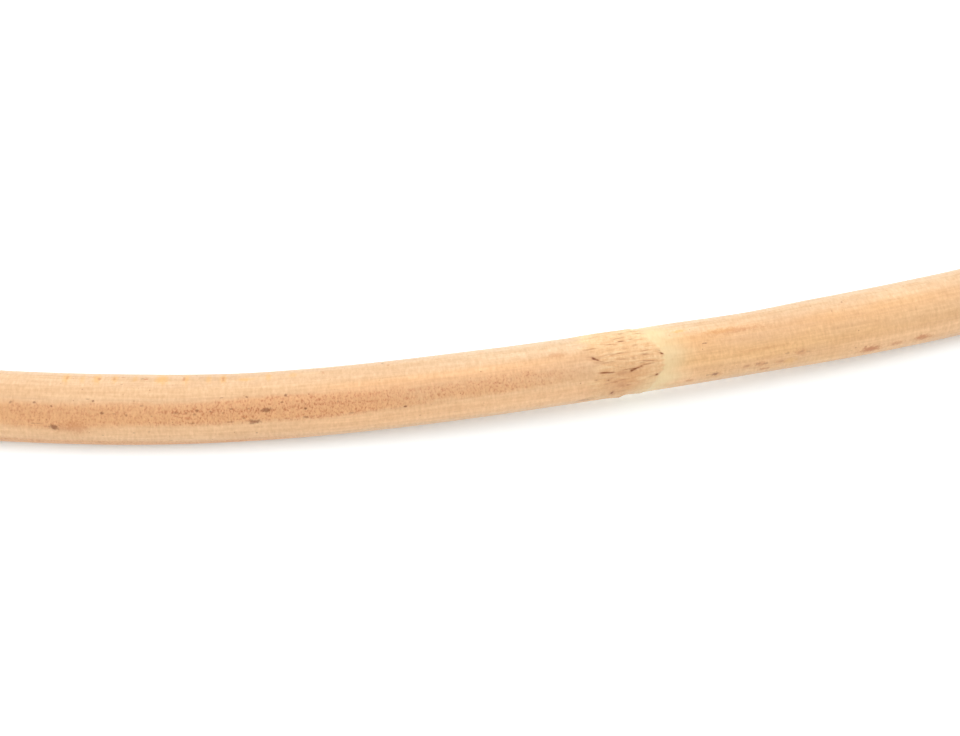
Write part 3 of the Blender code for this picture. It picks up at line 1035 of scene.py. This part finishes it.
def skin_material():
    """Pale straw skin with lengthwise grain, dirty streaks, stains, specks and the scars' colours, with
    light and shade painted in: a shade streak along the underside where the stem lies on the floor, a
    highlight in the pale strip along the top, and lighter warm strips lower down and above the middle.
    """
    material, nodes, shader = new_material("cane_skin")
    where = nodes.attribute(UNBENT, "Vector")
    parts = nodes.put("SeparateXYZ", {0: where}).outputs
    turn = nodes.math("DEGREES", nodes.math("ARCTAN2", parts["Z"], parts["Y"]))
    noises = {name: nodes.noise(where, *values) for name, values in SKIN_NOISES.items()}
    blots, grit, threads = noises["blots"], noises["grit"], noises["threads"]

    ochre = nodes.times(nodes.attribute("ochre"), nodes.level(noises["cloud"], *OCHRE_CLOUD))
    colour = nodes.mix(ochre, CLEAN, OCHRE)
    # The pale strip along the top, partly paler skin and partly a painted highlight; it lightens the
    # cream and the torn band too
    pale = nodes.times(nodes.attribute("pale"), nodes.level(blots, *PALE_BLOTS))
    colour = nodes.mix(pale, colour, PALE_AND_LIT)
    # Painted light: lighter, warmer colour on the lower-facing side and a band above the middle
    colour = nodes.mix(nodes.attribute("warm_lit"), colour, WARM_LIT)
    colour = shaded(nodes, colour, noises, CLEAN_SWINGS)

    streak = nodes.attribute("streak")
    lines = nodes.attribute("lines")
    uneven = nodes.plus(streak, nodes.spread(blots, -STREAK_UNEVEN, STREAK_UNEVEN))
    patchy = nodes.times(nodes.level(uneven, *STREAK_PATCHES), streak)
    # The streaks' colour: dirt, and painted shade along the underside
    colour = nodes.mix(patchy, colour, DIRT_AND_SHADE)
    freckled = nodes.times(nodes.attribute("freckled"), patchy)
    crowd = nodes.plus(noises["rust"], nodes.times(lines, LINE_CROWDING))
    freckles = nodes.times(nodes.level(crowd, *RUST_FRECKLES), freckled)
    colour = nodes.mix(nodes.times(freckles, RUST_SHARE), colour, RUST)
    darker = nodes.times(nodes.level(crowd, *DARK_FRECKLES), freckled)
    colour = nodes.mix(nodes.times(darker, DARK_SHARE), colour, BARK_BROWN)
    share = nodes.plus(nodes.spread(streak, *DOT_SHARES), nodes.times(lines, LINE_DOTS))
    dots = nodes.dots(where, DOTS_PER_MM, DOT_RADIUS, share)
    colour = nodes.mix(nodes.times(dots, DOT_DARKNESS), colour, BARK_BROWN)
    colour = shaded(nodes, colour, noises, DIRT_SWINGS)

    cream = nodes.times(nodes.attribute("cream"), nodes.level(blots, *CREAM_BLOTS))
    pale_cream = nodes.mix(nodes.times(pale, PALE_CREAM), CREAM, THREAD)
    colour = nodes.mix(cream, colour, shaded(nodes, pale_cream, noises, CREAM_SWINGS))
    group = stain_group()
    spot = (parts["X"], turn, nodes.spread(grit, -STAIN_RAG, STAIN_RAG))
    for marks, tone in STAIN_TONES:
        colour = nodes.mix(stains(nodes, group, spot, marks), colour, tone)

    torn = nodes.mix(nodes.level(threads, *TORN_THREADS), TORN, TORN_PALE)
    torn = nodes.mix(nodes.times(pale, PALE_TORN), torn, THREAD)
    torn = shaded(nodes, torn, noises, TORN_SWINGS)
    band = nodes.attribute("band")
    colour = nodes.mix(band, colour, torn)
    stub = nodes.times(nodes.attribute("stub"), nodes.level(threads, *STUB_THREADS))
    colour = nodes.mix(nodes.times(stub, STUB_SHARE), colour, STAIN_BROWN)
    colour = nodes.mix(nodes.times(nodes.attribute("thread"), THREAD_SHARE), colour, THREAD)
    furrow = nodes.times(nodes.attribute("furrow"), nodes.level(grit, *FURROW_GRIT))
    colour = nodes.mix(furrow, colour, BARK_BROWN)
    deep = nodes.level(furrow, *FURROW_DEPTHS)
    colour = nodes.mix(nodes.times(deep, DEEP_SHARE), colour, SPECK)

    rough = nodes.spread(noises["grain"], *SKIN_ROUGHNESS)
    rough = nodes.plus(rough, nodes.times(band, BAND_ROUGHER))
    rough = nodes.plus(rough, nodes.times(patchy, STREAK_ROUGHER))
    nodes.give(shader, {"Base Color": colour, "Roughness": rough})
    nodes.give(shader, {"Sheen Weight": SHEEN, "Sheen Roughness": SHEEN_ROUGHNESS})
    height = nodes.plus(noises["grain"], nodes.times(noises["hatch"], HATCH_BUMP))
    height = nodes.plus(height, nodes.times(threads, nodes.times(band, THREAD_BUMP)))
    height = nodes.minus(height, nodes.times(dots, DOT_PITS))
    bump(nodes, shader, height, SKIN_BUMP)
    return material


def cut_material():
    """The sawn end: pale pith full of dark pores, closer and finer towards a browner rim."""
    material, nodes, shader = new_material("cane_cut")
    parts = nodes.put("SeparateXYZ", {0: nodes.attribute(UNBENT, "Vector")}).outputs
    out = nodes.put("CombineXYZ", {"X": parts["Y"], "Y": parts["Z"]}).outputs["Vector"]
    reach = nodes.put("VectorMath", {0: out}, operation="LENGTH").outputs["Value"]
    rim = nodes.level(reach, *RIM)
    saw = nodes.noise(out, *SAW_MARKS)
    pores = nodes.dots(out, *PORES, space="2D")
    fine = nodes.dots(out, *FINE_PORES, nodes.times(rim, FINE_SHARE), space="2D")
    holes = nodes.math("MAXIMUM", nodes.times(pores, nodes.minus(1.0, rim)), fine)
    colour = nodes.mix(rim, CUT_PITH, CUT_RIM)
    colour = nodes.shade(colour, nodes.noise(out, *CUT_MOTTLE), MOTTLE_SWING)
    colour = nodes.shade(colour, saw, SAW_SWING)
    colour = nodes.mix(nodes.times(holes, PORE_DARKNESS), colour, PORE)
    nodes.give(shader, {"Base Color": colour, "Roughness": CUT_ROUGHNESS})
    bump(nodes, shader, nodes.minus(nodes.times(saw, SAW_BUMP), nodes.times(holes, PORE_PITS)), CUT_BUMP)
    return material


def fibre_material():
    """Torn fibre: pale, matt, browner here and there."""
    material, nodes, shader = new_material("cane_fibre")
    mottle = nodes.noise(nodes.attribute(UNBENT, "Vector"), *FIBRE_MOTTLE)
    colour = nodes.mix(nodes.level(mottle, *TORN_THREADS), TORN_PALE, TORN)
    nodes.give(shader, {"Base Color": colour, "Roughness": FIBRE_ROUGHNESS})
    return material


def stand(name, data):
    """A new object with this data, in the scene."""
    made = bpy.data.objects.new(name, data)
    bpy.context.scene.collection.objects.link(made)
    return made


def aim(made, ahead, up, distance):
    """Puts a lamp or the camera this far from the camera's target, facing it, so much ahead and up."""
    level = Vector((-np.sin(CAMERA_AZIMUTH), np.cos(CAMERA_AZIMUTH), 0.0))
    way = level * ahead + Vector((0.0, 0.0, up))
    made.location = CAMERA_TARGET + way * distance
    made.rotation_mode = "QUATERNION"
    made.rotation_quaternion = way.to_track_quat("Z", "Y")


def piece(mesh, *materials):
    """Puts a mesh in the scene as a piece of the cane."""
    for material in materials:
        mesh.materials.append(material)
    made = stand(mesh.name, mesh)
    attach(made, "root")
    return made


def floor():
    """A wide white floor that glows a little, so that only the cane's shadow shows on it."""
    mesh = bpy.data.meshes.new("floor")
    half = FLOOR_SIZE / 2
    corners = ((-half, -half), (half, -half), (half, half), (-half, half))
    mesh.from_pydata([(*corner, 0.0) for corner in corners], [], [(0, 1, 2, 3)])
    material, nodes, shader = new_material("floor_white")
    nodes.give(shader, {"Base Color": (*FLOOR_WHITE, 1.0), "Roughness": 1.0, "Specular IOR Level": 0.0})
    nodes.give(shader, {"Emission Color": WHITE, "Emission Strength": FLOOR_GLOW})
    mesh.materials.append(material)
    made = stand("floor", mesh)


def lamp(name, tilt_back, width, share):
    """A long soft lamp beside the stem, so strong that it adds this share of full white to the floor."""
    data = bpy.data.lights.new(name, "AREA")
    data.shape = "RECTANGLE"
    data.size = LAMP_LENGTH
    data.size_y = width
    half = np.arctan(LAMP_LENGTH / 2 / LAMP_DISTANCE)
    reach = (half + np.sin(half) * np.cos(half)) / LAMP_DISTANCE
    radiance = share * np.pi / (FLOOR_WHITE[1] * width * reach * np.cos(tilt_back))
    data.energy = radiance * np.pi * LAMP_LENGTH * width
    aim(stand(name, data), np.sin(tilt_back), np.cos(tilt_back), LAMP_DISTANCE)


def light():
    """A dim white surround, and two long soft lamps beside the stem, one behind it and one in front."""
    world = bpy.data.worlds.new("studio")
    bpy.context.scene.world = world
    world.use_nodes = True
    background = world.node_tree.nodes["Background"]
    Nodes(world.node_tree).give(background, {"Color": WHITE, "Strength": SURROUND})
    lamp("back_lamp", *BACK_LAMP)
    lamp("front_lamp", *FRONT_LAMP)
    bpy.context.scene.view_settings.view_transform = "Standard"


def camera():
    """Looks down on the middle of the stem, as the photograph does."""
    data = bpy.data.cameras.new("camera")
    data.lens = CAMERA_LENS
    data.clip_start = CAMERA_NEAREST
    made = stand("camera", data)
    aim(made, -np.cos(CAMERA_ELEVATION), np.sin(CAMERA_ELEVATION), CAMERA_DISTANCE)
    bpy.context.scene.camera = made


def main():
    camera()
    light()
    floor()
    mesh, shift = skin_mesh()
    cane = piece(mesh, skin_material(), cut_material())
    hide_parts("rattan_cane")
    fibre = fibre_material()
    piece(band_fibres(shift), fibre)
    piece(cut_fibres(shift), fibre)


main()
